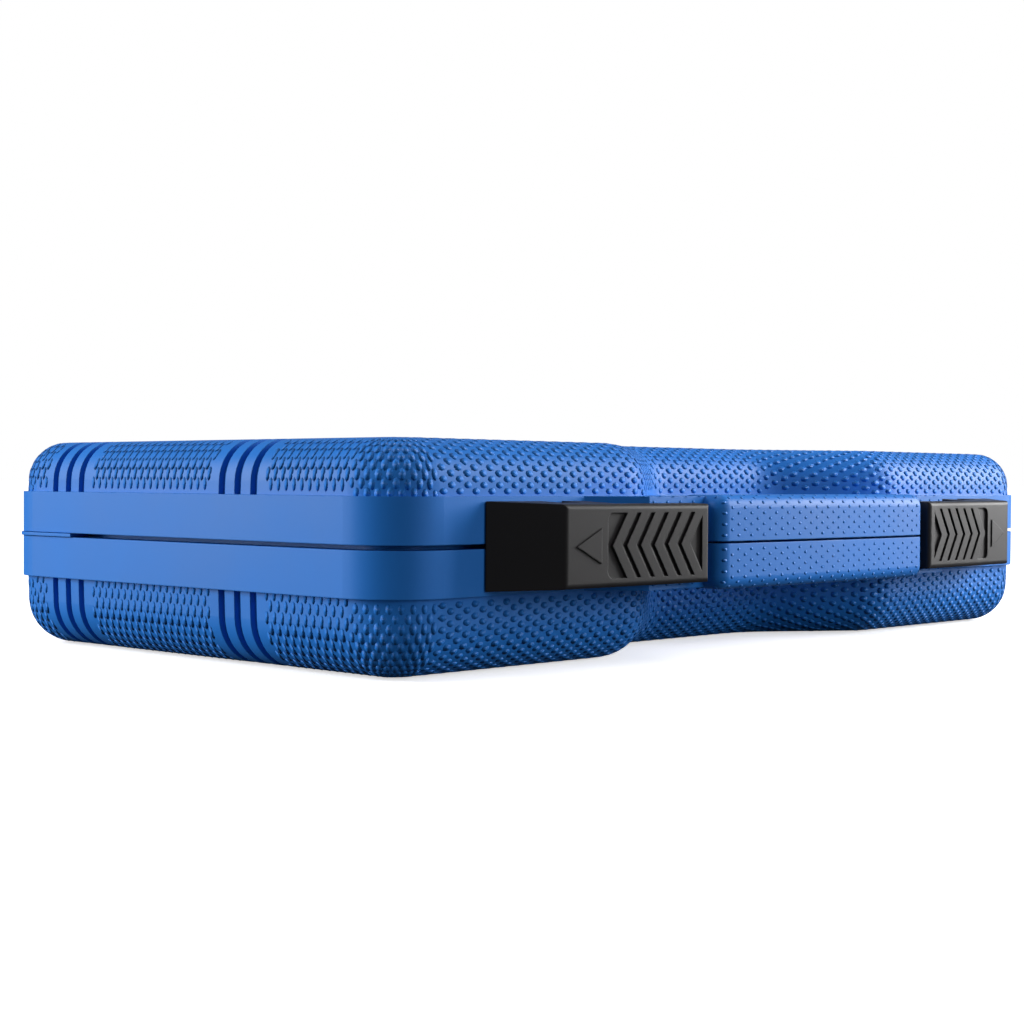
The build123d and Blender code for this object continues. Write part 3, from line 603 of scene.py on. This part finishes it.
def area_light(name, place, target, size, power):
    """A soft rectangular lamp aimed at a point."""
    data = bpy.data.lights.new(name, "AREA")
    data.shape = "RECTANGLE"
    data.size, data.size_y = size
    data.energy = power
    lamp = bpy.data.objects.new(name, data)
    lamp.location = place
    lamp.rotation_euler = (Vector(target) - Vector(place)).to_track_quat("-Z", "Y").to_euler()
    bpy.context.scene.collection.objects.link(lamp)


def paper_floor(tint):
    """White matt paper with a painted glow to the camera, brighter with distance, and a dim floor to
    everything else.
    """
    material, tree = new_material("Matt paper floor with painted glow")
    haze = add_node(tree, "ShaderNodeTexNoise", {
        "Vector": position(tree, 500.0), "Scale": 1.0, "Detail": 2.0}).outputs["Fac"]
    base = add_node(tree, "ShaderNodeMix", {
        0: haze, 6: shaded(tint, 0.99), 7: linear(tint)}, data_type="RGBA").outputs[2]
    seen = add_node(tree, "ShaderNodeLightPath").outputs["Is Camera Ray"]
    paper = add_node(tree, "ShaderNodeMix", {0: seen, 6: DIM_FLOOR, 7: base}, data_type="RGBA").outputs[2]
    # painted glow: the floor gives the camera light of its own, weaker near the case so that the case's soft
    # shadow still shows, and full white further off
    metres = add_node(tree, "ShaderNodeVectorMath", {0: position(tree, 1000.0)}, operation="LENGTH")
    painted_glow_by_distance = add_node(tree, "ShaderNodeMapRange", {
        "Value": metres.outputs["Value"], "From Min": 0.5, "From Max": 1.5, "To Min": 0.6, "To Max": 1.0})
    glow = add_node(tree, "ShaderNodeMath", {0: seen, 1: painted_glow_by_distance.outputs["Result"]}, operation="MULTIPLY")
    return finish_material(material, tree, Base_Color=paper, Roughness=0.9,
                           Emission_Color=(1, 1, 1, 1), Emission_Strength=glow.outputs["Value"])


def set_world(context):
    """White where the camera sees it, but a dim sky for everything else."""
    world = context.scene.world or bpy.data.worlds.new("world")
    context.scene.world = world
    world.use_nodes = True
    tree = world.node_tree
    tree.nodes.clear()
    seen = add_node(tree, "ShaderNodeLightPath").outputs["Is Camera Ray"]
    strength = add_node(tree, "ShaderNodeMapRange", {"Value": seen, "To Min": SKY_STRENGTH, "To Max": 1.0})
    sky = add_node(tree, "ShaderNodeBackground", {
        "Color": (1, 1, 1, 1), "Strength": strength.outputs["Result"]})
    add_node(tree, "ShaderNodeOutputWorld", {"Surface": sky.outputs["Background"]})


def place_camera(context):
    """A short telephoto low in front of the left corner, a touch off level."""
    yaw, pitch, roll = (math.radians(turn) for turn in (CAMERA_YAW, CAMERA_PITCH, CAMERA_ROLL))
    forward = Vector((math.sin(yaw) * math.cos(pitch), math.cos(yaw) * math.cos(pitch), math.sin(pitch)))
    right = Vector((math.cos(yaw), -math.sin(yaw), 0))
    up = right.cross(forward)
    level_right = right * math.cos(roll) + up * math.sin(roll)
    level_up = up * math.cos(roll) - right * math.sin(roll)
    data = bpy.data.cameras.new("camera")
    data.sensor_width = 36.0
    data.lens = LENS_MM
    data.clip_start = 0.01
    camera = bpy.data.objects.new("camera", data)
    turn = Matrix((level_right, level_up, -forward)).transposed().to_4x4()
    corner = Vector((-HALF_LENGTH, BAND_FRONT_Y, PARTING_Z))
    camera.matrix_world = Matrix.Translation(corner + CAMERA_FROM_CORNER) @ turn
    context.scene.collection.objects.link(camera)
    context.scene.camera = camera


class CASE_OT_stage(bpy.types.Operator):
    """Set the floor, lamps and camera"""
    bl_idname = "case.stage"
    bl_label = "Stage"

    def execute(self, context):
        mesh = bmesh.new()
        bmesh.ops.create_grid(mesh, x_segments=1, y_segments=1, size=30.0)
        floor = object_from("floor", mesh)
        floor.location.z = UNDERSIDE - 0.4 * MM  # clear of the bumps on the underside
        floor.data.materials.append(paper_floor(context.scene.case_colours.floor))
        set_world(context)
        for lamp in LAMPS:
            area_light(*lamp)
        place_camera(context)
        context.scene.view_settings.view_transform = "Standard"
        return {"FINISHED"}


class CASE_PT_panel(bpy.types.Panel):
    """Lists the steps, sizes and colours"""
    bl_idname = "CASE_PT_panel"
    bl_label = "Socket set case"
    bl_space_type = "VIEW_3D"
    bl_region_type = "UI"
    bl_category = "Socket Set"

    def draw(self, context):
        for step in STEPS:
            self.layout.operator(step.bl_idname)
        for name in GROUPS:
            group = getattr(context.scene, name)
            box = self.layout.box()
            for setting in group.__annotations__:
                box.prop(group, setting)


GROUPS = {"case_grain": CaseGrainSizes, "case_flash": CaseFlashSizes, "case_colours": CaseColours}
STEPS = (CASE_OT_shells, CASE_OT_grain, CASE_OT_flash, CASE_OT_latches, CASE_OT_hinges, CASE_OT_tools,
         CASE_OT_stage)
CLASSES = (*GROUPS.values(), *STEPS, CASE_PT_panel)


def register():
    for item in CLASSES:
        bpy.utils.register_class(item)
    for name, group in GROUPS.items():
        setattr(bpy.types.Scene, name, bpy.props.PointerProperty(type=group))


def unregister():
    for name in GROUPS:
        delattr(bpy.types.Scene, name)
    for item in reversed(CLASSES):
        bpy.utils.unregister_class(item)


def main():
    register()
    for step in (bpy.ops.case.shells, bpy.ops.case.grain, bpy.ops.case.flash, bpy.ops.case.latches,
                 bpy.ops.case.hinges, bpy.ops.case.tools, bpy.ops.case.stage):
        step()


if __name__ == "__main__":
    main()
